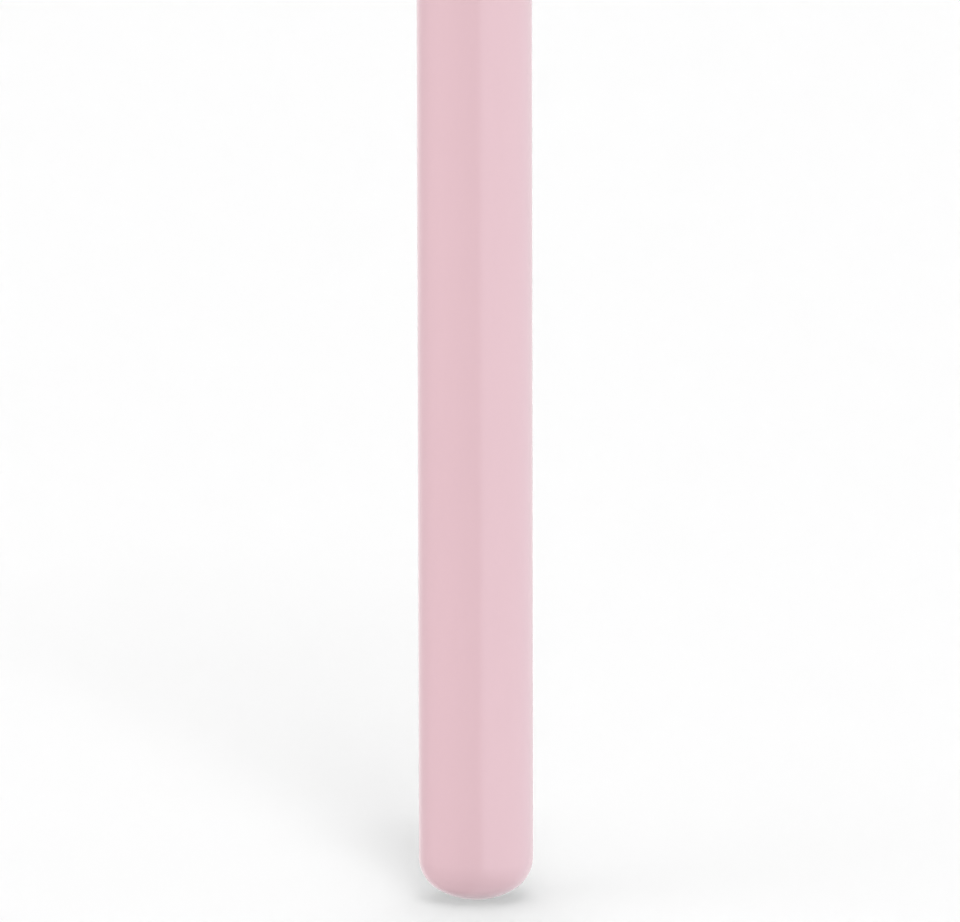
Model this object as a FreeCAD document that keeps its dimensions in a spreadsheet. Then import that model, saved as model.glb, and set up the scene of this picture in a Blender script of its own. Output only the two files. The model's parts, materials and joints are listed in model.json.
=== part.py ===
"""Eyeshadow brush: a lacquered turned handle, a pressed metal ferrule and a cupped tuft of hair.

The brush stands along +Z with the lowest point of its domed end at the origin. +X runs across the wide
side of the tuft and +Y through its thin side. All sizes are in millimetres.
"""
import FreeCAD, Part
import math
import os

import Sketcher

# Driving dimensions: alias, value, what it measures.
SIZES = (
    ("barrel_diameter", 8.0, "straight grip of the handle"),
    ("corner_radius", 2.6, "curve from the domed end into the grip"),
    ("crown_rise", 0.41, "how far the middle of the domed end bulges past its corners"),
    ("handle_length", 105.0, "domed end to the shoulder that carries the ferrule"),
    ("taper_length", 34.0, "stretch that narrows from the grip to the shoulder"),
    ("shoulder_step", 0.2, "how far the shoulder stands proud of the ferrule"),
    ("shoulder_round", 0.35, "rounding of the lacquered shoulder edge"),
    ("peg_length", 13.0, "peg of the handle inside the ferrule"),
    ("peg_chamfer", 0.5, "lead-in at the end of the peg"),
    ("glue_film", 0.08, "adhesive round the peg"),
    ("glue_pool", 0.6, "adhesive left on the end of the peg"),
    ("ferrule_diameter", 6.4, "outside of the round end of the ferrule"),
    ("ferrule_wall", 0.3, "sheet thickness of the ferrule"),
    ("ferrule_hollow", 2.95, "empty stretch of the ferrule between the adhesive and the resin"),
    ("pressed_length", 16.0, "stretch that is pressed from round to oval"),
    ("press_depth", 2.0, "how far the mouth is pressed in, both sides together"),
    ("crimp_offset", 4.0, "shoulder to the first rolled crimp"),
    ("crimp_spacing", 3.4, "first crimp to the second"),
    ("crimp_width", 1.4, "lip to lip of a crimp"),
    ("crimp_depth", 0.32, "how deep a crimp is rolled in"),
    ("hair_width", 11.6, "widest part of the tuft"),
    ("hair_thickness", 7.2, "widest part of the tuft, through its thin side"),
    ("belly_height", 8.5, "mouth to the widest part of the tuft"),
    ("tip_height", 8.5, "widest part of the tuft to its tip"),
    ("hair_clearance", 0.05, "between the hair and the ferrule"),
    ("root_flare", 1.2, "end of the root that widens to fill the ferrule"),
    ("thread_diameter", 0.3, "tying thread"),
    ("thread_pitch", 0.75, "turn to turn of the tying thread"),
    ("thread_turns", 3.0, "turns of the tying thread"),
    ("thread_margin", 0.6, "bare root at each end of the tying"),
    ("thread_clearance", 0.03, "between the thread and its neighbours"),
    ("resin_floor", 2.5, "resin under the end of the hair root"),
    ("resin_wall", 0.22, "resin between the tied root and the ferrule"),
    ("resin_clearance", 0.02, "between the resin and the ferrule"),
)

# What follows from the driving dimensions. Radii and half sizes come first, then heights up the brush.
DERIVED = (
    ("barrel", "Sizes.barrel_diameter / 2"),
    ("corner_height", "Sizes.corner_radius + Sizes.crown_rise"),
    ("corner_centre", "barrel - Sizes.corner_radius"),
    ("crown", "(corner_centre ^ 2 + corner_height ^ 2 - Sizes.corner_radius ^ 2) / (2 * Sizes.crown_rise)"),
    ("tube", "Sizes.ferrule_diameter / 2"),
    ("bore", "tube - Sizes.ferrule_wall"),
    ("neck", "tube + Sizes.shoulder_step"),
    ("peg", "bore - Sizes.glue_film"),
    ("resin", "bore - Sizes.resin_clearance"),
    ("tied_root", "resin - Sizes.resin_wall"),
    ("thread", "Sizes.thread_diameter / 2"),
    ("thread_loop", "tied_root - Sizes.thread_clearance - thread"),
    ("root", "thread_loop - thread - Sizes.thread_clearance"),
    ("hair_inset", "Sizes.ferrule_wall + Sizes.hair_clearance"),
    ("mouth_thick", "tube - Sizes.press_depth / 2"),
    ("mouth_wide", "sqrt(2 * tube ^ 2 - mouth_thick ^ 2)"),
    ("crimp_half", "Sizes.crimp_width / 2"),
    ("crimp_flank", "sqrt(1 + (Sizes.crimp_depth / crimp_half) ^ 2)"),
    ("shoulder", "Sizes.handle_length"),
    ("taper_start", "shoulder - Sizes.taper_length"),
    ("peg_end", "shoulder + Sizes.peg_length"),
    ("glue_end", "peg_end + Sizes.glue_pool"),
    ("resin_start", "glue_end + Sizes.ferrule_hollow"),
    ("root_end", "resin_start + Sizes.resin_floor"),
    ("thread_start", "root_end + Sizes.thread_margin + thread"),
    ("tied_end", "thread_start + Sizes.thread_turns * Sizes.thread_pitch + thread + Sizes.thread_margin"),
    ("press_start", "tied_end + Sizes.root_flare"),
    ("mouth", "press_start + Sizes.pressed_length"),
    ("belly", "mouth + Sizes.belly_height"),
)

# Oval forms run through this many sections, and the cup of the tuft ends in a flat this far round it.
PRESSED_SECTION_COUNT = 9
BELLY_SECTION_COUNT = 13
CUP_SECTION_COUNT = 16
CUP_SWEEP = math.radians(84)

CRIMP_COUNT = 2
THREAD_SIDES = 6
ARCS_PER_TURN = 4
GAP_POINTS_PER_TURN = 48
TOUCH = 1e-4

doc = FreeCAD.newDocument("EyeshadowBrush")


def make_sheet():
    """The spreadsheet of driving dimensions and the set of sizes that follow from them."""
    sheet = doc.addObject("Spreadsheet::Sheet", "Sizes")
    for row, (alias, value, meaning) in enumerate(SIZES, start=1):
        sheet.set(f"A{row}", meaning)
        sheet.set(f"B{row}", str(value))
        sheet.setAlias(f"B{row}", alias)
    doc.recompute()
    derived = doc.addObject("App::VarSet", "Derived")
    for name, _ in DERIVED:
        derived.addProperty("App::PropertyFloat", name)
    for name, expression in DERIVED:
        derived.setExpression(name, expression)
    doc.recompute()


def bind(item, **expressions):
    """Ties properties of an object to expressions; two underscores stand for a dot."""
    for name, expression in expressions.items():
        item.setExpression(name.replace("__", "."), expression)
    return item


def primitive(kind, name, **expressions):
    """A Part primitive with its sizes tied to expressions."""
    return bind(doc.addObject(f"Part::{kind}", name), **expressions)


def cut(name, base, tool):
    """What is left of base once tool is taken away."""
    result = doc.addObject("Part::Cut", name)
    result.Base = base
    result.Tool = tool
    return result


def fuse(name, *shapes):
    """Several overlapping or touching shapes as one."""
    result = doc.addObject("Part::MultiFuse", name)
    result.Shapes = list(shapes)
    result.Refine = True
    return result


def round_stretch(name, radius, bottom, top):
    """A plain cylinder on the brush's axis."""
    return primitive("Cylinder", name, Radius=radius, Height=f"{top} - {bottom}", Placement__Base__z=bottom)


def oval_loft(name, sections):
    """A solid through oval sections, each (half width, half thickness, height)."""
    ovals = []
    for place, (half_width, half_thickness, height) in enumerate(sections):
        oval = primitive("Ellipse", f"{name}_section_{place}", Placement__Base__z=height)
        ovals.append(bind(oval, MajorRadius=half_width, MinorRadius=half_thickness))
    result = doc.addObject("Part::Loft", name)
    result.Sections = ovals
    result.Solid = True
    result.Ruled = True
    return result


def smooth_step(share):
    """Runs from 0 to 1 and is level at both ends."""
    return share * share * (3 - 2 * share)


def shares(count):
    """Evenly spaced shares of a stretch, both ends included."""
    return [place / (count - 1) for place in range(count)]


def pressed_sections(inset):
    """Ovals from the round tube to the pressed mouth, taken in by inset. The girth stays that of the tube."""
    sections = []
    for share in shares(PRESSED_SECTION_COUNT):
        half_thickness = f"(Derived.tube - {smooth_step(share)} * Sizes.press_depth / 2)"
        half_width = f"sqrt(2 * Derived.tube ^ 2 - {half_thickness} ^ 2)"
        height = f"Derived.press_start + {share} * Sizes.pressed_length"
        sections.append((f"{half_width} - {inset}", f"{half_thickness} - {inset}", height))
    return sections


def belly_sections():
    """Ovals of the hair from the mouth of the ferrule out to its widest part."""
    mouth_width = "(Derived.mouth_wide - Derived.hair_inset)"
    mouth_thickness = "(Derived.mouth_thick - Derived.hair_inset)"
    sections = []
    for share in shares(BELLY_SECTION_COUNT):
        step = smooth_step(share)
        half_width = f"{mouth_width} + {step} * (Sizes.hair_width / 2 - {mouth_width})"
        half_thickness = f"{mouth_thickness} + {step} * (Sizes.hair_thickness / 2 - {mouth_thickness})"
        sections.append((half_width, half_thickness, f"Derived.mouth + {share} * Sizes.belly_height"))
    return sections


def cup_sections():
    """Ovals of the hair from its widest part over the cupped tip."""
    sections = []
    for share in shares(CUP_SECTION_COUNT):
        narrowing = math.cos(share * CUP_SWEEP)
        rise = math.sin(share * CUP_SWEEP) / math.sin(CUP_SWEEP)
        half_width = f"{narrowing} * Sizes.hair_width / 2"
        half_thickness = f"{narrowing} * Sizes.hair_thickness / 2"
        sections.append((half_width, half_thickness, f"Derived.belly + {rise} * Sizes.tip_height"))
    return sections


def crimped_levels(inset, bottom, top):
    """Levels of the crimped round tube between two heights, taken in by inset on every wall and flank."""
    plain = f"(Derived.tube - {inset})"
    deepest = f"(Derived.tube - Sizes.crimp_depth - {inset} * Derived.crimp_flank)"
    half_width = f"(Derived.crimp_half * (1 + {inset} * (Derived.crimp_flank - 1) / Sizes.crimp_depth))"
    levels = [(plain, bottom)]
    for place in range(CRIMP_COUNT):
        middle = f"(Derived.shoulder + Sizes.crimp_offset + {place} * Sizes.crimp_spacing)"
        levels.append((plain, f"({middle} - {half_width})"))
        levels.append((deepest, middle))
        levels.append((plain, f"({middle} + {half_width})"))
    levels.append((plain, top))
    return levels


def turned_stack(name, levels):
    """A turned solid that runs straight from level to level, each (radius, height)."""
    stretches = []
    for place, ((low_radius, low), (high_radius, high)) in enumerate(zip(levels, levels[1:])):
        stretch_name = f"{name}_{place}"
        if low_radius == high_radius:
            stretches.append(round_stretch(stretch_name, low_radius, low, high))
            continue
        cone = primitive("Cone", stretch_name, Radius1=low_radius, Radius2=high_radius)
        stretches.append(bind(cone, Height=f"{high} - {low}", Placement__Base__z=low))
    return fuse(name, *stretches)


def ring_edge(shape, radius, height):
    """The name of the round edge of that radius at that height."""
    for place, edge in enumerate(shape.Edges, start=1):
        if edge.Degenerated or not isinstance(edge.Curve, Part.Circle):
            continue
        if abs(edge.Curve.Radius - radius) < TOUCH and abs(edge.Curve.Center.z - height) < TOUCH:
            return f"Edge{place}"
    raise ValueError(f"no round edge of radius {radius} at height {height}")


def sketch_on_upright_plane(body, name):
    """An empty sketch on a body's own XZ plane."""
    sketch = body.newObject("Sketcher::SketchObject", name)
    plane = next(item for item in body.Origin.OriginFeatures if item.Role == "XZ_Plane")
    sketch.AttachmentSupport = [(plane, "")]
    sketch.MapMode = "FlatFace"
    return sketch


def draw_handle(sketch):
    """Half of the handle's turned outline, from the domed end up to the shoulder and back down the axis."""
    derived = doc.Derived

    def point(x, y):
        return FreeCAD.Vector(x, y, 0)

    def arc(centre, radius, start, end):
        angles = [math.atan2(end_point.y - centre.y, end_point.x - centre.x) for end_point in (start, end)]
        return Part.ArcOfCircle(Part.Circle(centre, FreeCAD.Vector(0, 0, 1), radius), *angles)

    # The two arcs share a tangent, so both centres lie on one line with the point where the arcs meet.
    crown_centre = point(0, derived.crown)
    corner_centre = point(derived.corner_centre, derived.corner_height)
    towards_corner = (corner_centre - crown_centre).normalize()
    meeting = crown_centre + towards_corner * derived.crown

    lowest = point(0, 0)
    grip_low = point(derived.barrel, derived.corner_height)
    grip_high = point(derived.barrel, derived.taper_start)
    neck = point(derived.neck, derived.shoulder)
    seat_middle = point(0, derived.shoulder)
    corners = (grip_low, grip_high, neck, seat_middle, lowest)
    lines = [Part.LineSegment(start, end) for start, end in zip(corners, corners[1:])]
    arcs = [
        arc(crown_centre, derived.crown, lowest, meeting),
        arc(corner_centre, doc.Sizes.corner_radius, meeting, grip_low),
    ]
    sketch.addGeometry(arcs + lines, False)


def constrain_handle(sketch):
    """Fixes the turned outline and ties its sizes to the sheet."""
    crown, corner, grip, taper, seat, axis = range(6)
    start, end, centre = 1, 2, 3
    origin, upright = -1, -2

    for first, second in ((crown, corner), (corner, grip)):
        sketch.addConstraint(Sketcher.Constraint("Tangent", first, end, second, start))
    for first, second in ((grip, taper), (taper, seat), (seat, axis)):
        sketch.addConstraint(Sketcher.Constraint("Coincident", first, end, second, start))
    sketch.addConstraint(Sketcher.Constraint("Coincident", axis, end, crown, start))
    sketch.addConstraint(Sketcher.Constraint("Coincident", crown, start, origin, 1))
    sketch.addConstraint(Sketcher.Constraint("PointOnObject", crown, centre, upright))
    for line in (grip, axis):
        sketch.addConstraint(Sketcher.Constraint("Vertical", line))
    sketch.addConstraint(Sketcher.Constraint("Horizontal", seat))

    def measure(name, derived_size, kind, *points):
        value = getattr(doc.Derived, derived_size)
        place = sketch.addConstraint(Sketcher.Constraint(kind, *points, value))
        sketch.renameConstraint(place, name)
        sketch.setExpression(f"Constraints.{name}", f"Derived.{derived_size}")

    measure("crown_radius", "crown", "Radius", crown)
    measure("corner_height", "corner_height", "DistanceY", origin, 1, corner, centre)
    measure("grip_radius", "barrel", "DistanceX", origin, 1, grip, end)
    measure("taper_start", "taper_start", "DistanceY", origin, 1, grip, end)
    measure("neck_radius", "neck", "DistanceX", origin, 1, taper, end)
    measure("shoulder_height", "shoulder", "DistanceY", origin, 1, taper, end)


def make_peg():
    """The peg of the handle, grooved under the crimps, with a lead-in at its end."""
    inset = "(Sizes.ferrule_wall + Sizes.glue_film)"
    levels = crimped_levels(inset, "Derived.shoulder", "(Derived.peg_end - Sizes.peg_chamfer)")
    levels.append(("(Derived.peg - Sizes.peg_chamfer)", "Derived.peg_end"))
    return turned_stack("peg", levels)


def make_handle(peg):
    """A turned handle: domed end, straight grip, long taper, rounded shoulder and the peg."""
    body = doc.addObject("PartDesign::Body", "turned_handle")
    sketch = sketch_on_upright_plane(body, "handle_profile")
    draw_handle(sketch)
    constrain_handle(sketch)
    turned = body.newObject("PartDesign::Revolution", "turned_form")
    turned.Profile = sketch
    turned.ReferenceAxis = (sketch, ["V_Axis"])
    turned.Angle = 360
    doc.recompute()

    rounded = body.newObject("PartDesign::Fillet", "shoulder_edge")
    rounded.Base = (turned, [ring_edge(turned.Shape, doc.Derived.neck, doc.Derived.shoulder)])
    bind(rounded, Radius="Sizes.shoulder_round")
    return fuse("handle", body, peg)


def make_ferrule():
    """A drawn tube, round and crimped where it holds the handle and pressed oval where it holds the hair."""
    skins = []
    for name, inset in (("ferrule_outside", "0"), ("ferrule_bore", "Sizes.ferrule_wall")):
        levels = crimped_levels(inset, "Derived.shoulder", "Derived.press_start")
        round_end = turned_stack(f"{name}_round", levels)
        pressed = oval_loft(f"{name}_pressed", pressed_sections(inset))
        skins.append(fuse(name, round_end, pressed))
    return cut("ferrule", *skins)


def make_peg_glue(peg):
    """The adhesive: a film that fills the space round the peg and a shallow pool on its end."""
    levels = crimped_levels("Sizes.ferrule_wall", "Derived.shoulder", "Derived.glue_end")
    return cut("peg_glue", turned_stack("glue_filled", levels), peg)


def make_resin_plug():
    """The cured resin that locks the tied root into the ferrule: a plug with a socket for the root."""
    resin = round_stretch("resin_block", "Derived.resin", "Derived.resin_start", "Derived.tied_end")
    socket = round_stretch("resin_socket", "Derived.tied_root", "Derived.root_end", "Derived.tied_end")
    return cut("resin_plug", resin, socket)


def make_hair_tuft():
    """The hair as one soft form: tied root, stretch held in the ferrule, flaring belly and cupped tip."""
    root = round_stretch("hair_root", "Derived.root", "Derived.root_end", "Derived.tied_end")
    held_radius = "Derived.tube - Derived.hair_inset"
    flare = primitive("Cone", "hair_root_flare", Radius1="Derived.root", Radius2=held_radius)
    bind(flare, Height="Sizes.root_flare", Placement__Base__z="Derived.tied_end")
    sections = pressed_sections("Derived.hair_inset") + belly_sections()[1:] + cup_sections()[1:]
    return fuse("hair_tuft", root, flare, oval_loft("hair_form", sections))


def thread_route(loop, pitch, turns, lead):
    """The line of a wound thread: biarcs that follow a helix, with a straight lead at either end."""

    def place(angle):
        return FreeCAD.Vector(loop * math.cos(angle), loop * math.sin(angle), pitch * angle / math.tau)

    def heading(angle):
        return FreeCAD.Vector(-loop * math.sin(angle), loop * math.cos(angle), pitch / math.tau).normalize()

    def arc(start, leaving, end):
        """The arc that leaves start in the given direction and reaches end."""
        chord = end - start
        outward = (leaving - chord * (leaving.dot(chord) / chord.dot(chord))).normalize()
        bulge = chord.Length / 2 * math.tan(chord.getAngle(leaving) / 2)
        return Part.Arc(start, (start + end) * 0.5 + outward * bulge, end).toShape()

    angles = [math.tau * step / ARCS_PER_TURN for step in range(round(turns * ARCS_PER_TURN) + 1)]
    route = [Part.LineSegment(place(0) - heading(0) * lead, place(0)).toShape()]
    for first, second in zip(angles, angles[1:]):
        leaving = heading(first)
        arriving = heading(second)
        chord = place(second) - place(first)
        along = chord.dot(leaving + arriving)
        turning = 2 * (1 - leaving.dot(arriving))
        reach = (math.sqrt(along**2 + turning * chord.dot(chord)) - along) / turning
        joint = (place(first) + leaving * reach + place(second) - arriving * reach) * 0.5
        route.append(arc(place(first), leaving, joint))
        route.append(arc(place(second), arriving * -1, joint))
    last = angles[-1]
    route.append(Part.LineSegment(place(last), place(last) + heading(last) * lead).toShape())
    return Part.Wire(route)


def least_gap(route, loop, thickness):
    """The least space between one turn of a wound route and the next, measured on points."""
    half_turn = math.pi * loop
    spacing = 2 * half_turn / GAP_POINTS_PER_TURN
    points = route.discretize(Distance=spacing)
    skipped = math.ceil(half_turn / spacing)
    nearest = math.inf
    for place, point in enumerate(points):
        for other in points[place + skipped :]:
            nearest = min(nearest, point.distanceToPoint(other))
    return nearest - thickness


def make_binding_thread():
    """The thread that ties the root, wound round it in one unbroken length with a faceted section."""
    sizes = doc.Sizes
    derived = doc.Derived
    route = thread_route(derived.thread_loop, sizes.thread_pitch, sizes.thread_turns, sizes.thread_diameter)
    start = route.OrderedVertexes[0].Point
    heading = (route.OrderedVertexes[1].Point - start).normalize()
    outward = FreeCAD.Vector(1, 0, 0)
    sideways = heading.cross(outward)
    corners = []
    for side in range(THREAD_SIDES + 1):
        angle = math.tau * side / THREAD_SIDES
        corners.append(start + (outward * math.cos(angle) + sideways * math.sin(angle)) * derived.thread)
    thread = doc.addObject("Part::Feature", "binding_thread")
    thread.Shape = route.makePipeShell([Part.makePolygon(corners)], True, False)
    thread.Placement = FreeCAD.Placement(FreeCAD.Vector(0, 0, derived.thread_start), FreeCAD.Rotation())
    print(f"binding_thread: least gap {least_gap(route, derived.thread_loop, sizes.thread_diameter):.3f} mm")
    return thread


def check(nodes):
    """Stops the build if an object failed or a sub-part is empty or broken."""
    doc.recompute()
    for item in doc.Objects:
        if {"Invalid", "Error"} & set(item.State):
            raise RuntimeError(f"{item.Name} failed: {item.State}")
    for node in nodes:
        if node.Shape.isNull() or not node.Shape.isValid() or not node.Shape.Solids:
            raise RuntimeError(f"{node.Label} is not a valid solid")


def main():
    make_sheet()
    peg = make_peg()
    nodes = [
        make_handle(peg),
        make_ferrule(),
        make_peg_glue(peg),
        make_resin_plug(),
        make_binding_thread(),
        make_hair_tuft(),
    ]
    check(nodes)
    os.makedirs("parts", exist_ok=True)
    for node in nodes:
        shape = node.Shape
        shape.exportStep(f"parts/{node.Label}.step")
        heights = f"z {shape.BoundBox.ZMin:.2f} to {shape.BoundBox.ZMax:.2f}"
        print(f"{node.Label}: {len(shape.Solids)} solid, {shape.Volume:.2f} mm3, {heights}")


main()
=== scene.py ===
"""Eyeshadow brush, dressed: lacquer, anodised metal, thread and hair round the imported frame.

Run as a script, it builds the pieces through its operators, one after another, and then the studio.
The brush stands along +Z on its domed end. All sizes are in metres.
"""
import json
import math
from dataclasses import dataclass

import bpy
import numpy as np
from bpy.props import FloatProperty, FloatVectorProperty, IntProperty, PointerProperty
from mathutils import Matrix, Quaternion, Vector


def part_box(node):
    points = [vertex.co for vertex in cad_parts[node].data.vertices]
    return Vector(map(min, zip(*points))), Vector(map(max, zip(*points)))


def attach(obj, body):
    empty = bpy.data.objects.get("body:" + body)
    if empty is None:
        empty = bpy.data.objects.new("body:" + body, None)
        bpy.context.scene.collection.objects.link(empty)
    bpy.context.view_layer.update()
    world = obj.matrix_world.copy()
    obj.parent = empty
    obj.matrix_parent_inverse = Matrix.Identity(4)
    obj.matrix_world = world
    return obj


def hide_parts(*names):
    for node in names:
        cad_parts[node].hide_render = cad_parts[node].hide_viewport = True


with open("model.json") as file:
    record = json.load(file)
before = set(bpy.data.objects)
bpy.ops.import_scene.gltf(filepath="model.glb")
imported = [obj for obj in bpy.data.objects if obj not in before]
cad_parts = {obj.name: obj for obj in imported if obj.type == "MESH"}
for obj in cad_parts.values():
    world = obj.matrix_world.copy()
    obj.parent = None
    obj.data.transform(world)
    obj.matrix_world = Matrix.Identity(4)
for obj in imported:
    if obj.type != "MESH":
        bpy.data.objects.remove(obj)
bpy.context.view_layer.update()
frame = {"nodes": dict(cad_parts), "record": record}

bl_info = {
    "name": "Eyeshadow Brush",
    "version": (1, 0, 0),
    "blender": (4, 5, 0),
    "location": "3D View > Sidebar > Brush",
    "description": "Builds the looks of an eyeshadow brush round its packed frame",
    "category": "Add Mesh",
}

BODY = "root"
MILLIMETRE = 0.001
GOLDEN_ANGLE = math.pi * (3 - math.sqrt(5))

# Heights closer than this count as the same
SAME_HEIGHT = 1e-6

# The photograph's frame, and how wide the grip is in it, in pixels
PHOTO_WIDTH = 960
GRIP_WIDTH_IN_PHOTO = 114.8

# Rings along each stretch of the handle, and where its crown's first ring lies, in radians from the axis
CROWN_START = 0.02
CROWN_RINGS = 16
CORNER_RINGS = 18
GRIP_RINGS = 12
TAPER_RINGS = 26
SHOULDER_RINGS = 8

# Rings along each stretch of the ferrule
CRIMP_RINGS = 25
PRESSED_RINGS = 56
LIP_RINGS = 9
BORE_RINGS = 24

# Points round a yarn, its rings per turn, and its radius as a share of the thread's thickness
YARN_SIDES = 6
YARN_RINGS = 260
YARN_SHARE = 0.23

# Points round a hair, its rings along each stretch, and how much of its thickness it loses towards its tip
HAIR_SIDES = 3
MANTLE_RINGS = 11
CORE_RINGS = 3
TIP_RINGS = 6
HAIR_THINNING = 0.5

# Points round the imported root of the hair, its rings along each stretch, and its flutes' depth as a share
ROOT_SIDES = 192
TIED_RINGS = 6
HELD_RINGS = 16
FLUTE_DEPTH = 0.012

# Random draws: how far a hair strays, as a share of the hairs' spacing, and a lock, as a share of the tuft,
# how much the tones of locks differ, and the fewest and the most bends of a hair
HAIR_STRAY = 0.35
LOCK_STRAY = 0.03
LOCK_TONE = 0.15
FEWEST_BENDS = 0.6
MOST_BENDS = 1.6

# The texture layout that the hairs are laid into, and the free share on each side of a hair's cell in it
TEXTURE_LAYOUT = "OFBake"
CELL_MARGIN = 0.1

# What shiny surfaces see, in parts of a direction of length 1: the softness of the softbox's edge, where the
# white behind the brush starts and is full, where the dark below it starts and is full, and how dark it gets
SOFTBOX_BLUR = 0.05
WHITE_START = 0.55
WHITE_FULL = 0.9
DARK_START = -0.35
DARK_FULL = -0.8
DARK_SHARE = 0.6


# Places and sizes read from the frame

def node_points(node):
    """The vertices of a CAD node, one row each."""
    vertices = frame["nodes"][node].data.vertices
    places = np.empty(len(vertices) * 3)
    vertices.foreach_get("co", places)
    return places.reshape(-1, 3)


def half_sizes_at(node, height):
    """Half width and half thickness of a CAD node at one height."""
    points = node_points(node)
    there = np.abs(points[np.abs(points[:, 2] - height) < SAME_HEIGHT])
    return float(there[:, 0].max()), float(there[:, 1].max())


GRIP = next(mount for mount in frame["record"]["mounts"] if mount["name"] == "handle_grip")
GRIP_RADIUS = GRIP["dims"]["r_mm"] * MILLIMETRE
GRIP_TOP = GRIP["pos_m"][2] + GRIP["dims"]["length_mm"] * MILLIMETRE / 2
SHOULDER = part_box("ferrule")[0].z
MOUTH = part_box("ferrule")[1].z
PEG_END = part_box("handle")[1].z
TUBE = half_sizes_at("ferrule", SHOULDER)[0]
MOUTH_THICK = half_sizes_at("ferrule", MOUTH)[1]
ROOT_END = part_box("hair_tuft")[0].z
TIED_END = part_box("resin_plug")[1].z
HAIR_WIDE, HAIR_THICK, HAIR_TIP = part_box("hair_tuft")[1]
BELLY = float(max(node_points("hair_tuft"), key=lambda point: point[0])[2])
HAIR_MOUTH_WIDE, HAIR_MOUTH_THICK = half_sizes_at("hair_tuft", MOUTH)
ROOT_RADIUS = half_sizes_at("hair_tuft", ROOT_END)[0]
THREAD_LOW, THREAD_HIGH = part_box("binding_thread")


# Settings that a user would change

def length(name, description, default):
    """A size in metres."""
    return FloatProperty(
        name=name, description=description, default=default, min=0, precision=5, unit="LENGTH",
    )


def share(name, description, default):
    """A number from 0 to 1."""
    return FloatProperty(
        name=name, description=description, default=default, min=0, max=1, subtype="FACTOR",
    )


def brightness(name, description, default):
    """A brightness, where 1 lights a white surface to white."""
    return FloatProperty(name=name, description=description, default=default, min=0)


def angle(name, description, degrees):
    """A direction or a spread, given in degrees."""
    return FloatProperty(
        name=name, description=description, default=math.radians(degrees), subtype="ANGLE",
    )


def count(name, description, default):
    """A whole number."""
    return IntProperty(name=name, description=description, default=default, min=1)


def colour(name, description, default):
    """A colour, as light that a surface gives back."""
    return FloatVectorProperty(
        name=name, description=description, default=default, min=0, max=1, subtype="COLOR",
    )


class HandleSettings(bpy.types.PropertyGroup):
    """The turned handle under its lacquer."""

    corner_radius: length("Corner radius", "Curve from the domed end into the grip", 0.0026)
    crown_rise: length("Crown rise", "How far the middle of the domed end bulges past its corners", 0.00041)
    taper_blend: length("Taper blend", "Stretch over which the grip runs into the taper", 0.012)
    shoulder_step: length("Shoulder step", "How far the shoulder stands proud of the ferrule", 0.0002)
    shoulder_round: length("Shoulder round", "Rounding of the lacquered shoulder", 0.00035)
    glue_film: length("Glue film", "Adhesive between the peg and the ferrule", 0.00008)
    peg_chamfer: length("Peg chamfer", "Lead-in at the end of the peg", 0.0005)
    sides: count("Sides", "Points round the handle", 160)
    lacquer: colour("Lacquer", "Pink of the lacquer", (0.893, 0.603, 0.659))
    roughness: share("Roughness", "Roughness of the lacquer", 0.2)
    wood: colour("Wood", "Bare wood of the peg", (0.62, 0.44, 0.27))


class FerruleSettings(bpy.types.PropertyGroup):
    """The pressed metal tube."""

    wall: length("Wall", "Sheet thickness", 0.0003)
    pressed_length: length("Pressed length", "Stretch that is pressed from round to oval", 0.016)
    crimp_offset: length("Crimp offset", "Shoulder to the first crimp", 0.004)
    crimp_spacing: length("Crimp spacing", "First crimp to the second", 0.0034)
    crimp_width: length("Crimp width", "Lip to lip of a crimp", 0.0014)
    crimp_depth: length("Crimp depth", "How deep a crimp is rolled in", 0.00032)
    crimps: count("Crimps", "Number of rolled crimps", 2)
    sides: count("Sides", "Points round the ferrule", 144)
    metal: colour("Metal", "Rose tone of the anodised metal", (0.86, 0.62, 0.54))
    roughness: share("Roughness", "Roughness between the brushed lines", 0.24)


class ThreadSettings(bpy.types.PropertyGroup):
    """The thread that ties the root of the hair."""

    diameter: length("Diameter", "Thickness of the thread", 0.0003)
    pitch: length("Pitch", "Turn to turn", 0.00075)
    turns: count("Turns", "Turns round the root", 3)
    plies: count("Plies", "Yarns twisted into the thread", 3)
    lay: length("Lay", "Length of one twist of the yarns", 0.0008)
    cotton: colour("Cotton", "Colour of the thread", (0.85, 0.82, 0.76))


class HairSettings(bpy.types.PropertyGroup):
    """The tuft of hair."""

    strands: count("Strands", "Number of separate hairs", 4400)
    locks: count("Locks", "Number of locks that the hairs gather into", 150)
    diameter: length("Diameter", "Thickness of one hair", 0.00009)
    core: share("Core", "Share of the tuft's width whose hairs show only at their tips", 0.74)
    core_depth: length("Core depth", "How far below the belly those hairs start", 0.003)
    seat_depth: length("Seat depth", "How far inside the ferrule the outer hairs start", 0.0025)
    gather: share("Gather", "How far the hairs lean in from the belly to the tip", 0.30)
    locking: share("Locking", "How far hairs close up to the middle of their lock", 0.42)
    uneven: length("Unevenness", "How much shorter than the tuft's outline a hair is on average", 0.0005)
    wave: length("Wave", "Sideways wave of a hair", 0.00007)
    clearance: length("Clearance", "Between the hair and the ferrule", 0.00005)
    seed: count("Seed", "Start of the random draws", 7)
    root_colour: colour("Root", "Colour of the hair at the ferrule", (0.085, 0.034, 0.018))
    middle_colour: colour("Middle", "Colour of the hair at the belly", (0.27, 0.125, 0.066))
    tip_colour: colour("Tip", "Colour of the hair at its tip", (0.72, 0.49, 0.33))


class HiddenSettings(bpy.types.PropertyGroup):
    """The adhesive and the resin inside the ferrule."""

    adhesive: colour("Adhesive", "Cured glue round the peg", (0.86, 0.83, 0.74))
    resin: colour("Resin", "Cured resin round the root", (0.78, 0.62, 0.34))


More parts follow.
